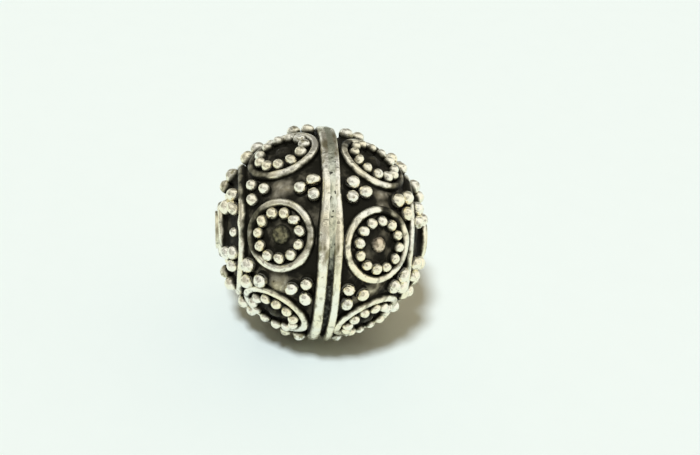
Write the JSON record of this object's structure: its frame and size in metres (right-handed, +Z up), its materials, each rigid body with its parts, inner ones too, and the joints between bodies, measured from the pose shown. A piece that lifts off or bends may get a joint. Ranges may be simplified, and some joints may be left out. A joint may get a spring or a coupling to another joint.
{
  "type": "granulated metal bead",
  "caption": "Hollow round bead with applied wire rings, granules and a seam band, drilled through for a cord.",
  "frame": {"origin": "centre of the bead, on the axis of the bore and in the plane of the seam", "axes": "+X along the bore, +Z up as the bead rests, -Y towards the viewer"},
  "size_m": [0.0136, 0.014, 0.014],
  "materials": {
    "blackened_shell": "domed silver sheet, hammered and blackened in the hollows",
    "worn_wire": "silver wire, dark at its foot and worn bright on its crest",
    "worn_granules": "silver granules, dark at their feet and worn bright on top",
    "seam_solder": "silver solder run, dull grey green and lightly scratched",
    "dull_boss": "low cast dome, dull olive grey to warm beige",
    "tube_silver": "drawn silver tube, tarnished inside, bright at its ends"
  },
  "bodies": {
    "root": {"core_tube": "tube_silver", "seam_solder": "seam_solder", "half_shell_left": "blackened_shell", "rim_wire_left": "worn_wire", "shoulder_wire_left": "worn_wire", "collar_wire_left": "worn_wire", "rim_clusters_left": "worn_granules", "shoulder_clusters_left": "worn_granules", "polar_clusters_left": "worn_granules", "medallion_wire_left_under": "worn_wire", "medallion_granules_left_under": "worn_granules", "medallion_boss_left_under": "dull_boss", "medallion_wire_left_front_low": "worn_wire", "medallion_granules_left_front_low": "worn_granules", "medallion_boss_left_front_low": "dull_boss", "medallion_wire_left_front_high": "worn_wire", "medallion_granules_left_front_high": "worn_granules", "medallion_boss_left_front_high": "dull_boss", "medallion_wire_left_top": "worn_wire", "medallion_granules_left_top": "worn_granules", "medallion_boss_left_top": "dull_boss", "medallion_wire_left_back_high": "worn_wire", "medallion_granules_left_back_high": "worn_granules", "medallion_boss_left_back_high": "dull_boss", "medallion_wire_left_back_low": "worn_wire", "medallion_granules_left_back_low": "worn_granules", "medallion_boss_left_back_low": "dull_boss", "half_shell_right": "blackened_shell", "rim_wire_right": "worn_wire", "shoulder_wire_right": "worn_wire", "collar_wire_right": "worn_wire", "rim_clusters_right": "worn_granules", "shoulder_clusters_right": "worn_granules", "polar_clusters_right": "worn_granules", "medallion_wire_right_under": "worn_wire", "medallion_granules_right_under": "worn_granules", "medallion_boss_right_under": "dull_boss", "medallion_wire_right_front_low": "worn_wire", "medallion_granules_right_front_low": "worn_granules", "medallion_boss_right_front_low": "dull_boss", "medallion_wire_right_front_high": "worn_wire", "medallion_granules_right_front_high": "worn_granules", "medallion_boss_right_front_high": "dull_boss", "medallion_wire_right_top": "worn_wire", "medallion_granules_right_top": "worn_granules", "medallion_boss_right_top": "dull_boss", "medallion_wire_right_back_high": "worn_wire", "medallion_granules_right_back_high": "worn_granules", "medallion_boss_right_back_high": "dull_boss", "medallion_wire_right_back_low": "worn_wire", "medallion_granules_right_back_low": "worn_granules", "medallion_boss_right_back_low": "dull_boss"}
  },
  "joints": []
}
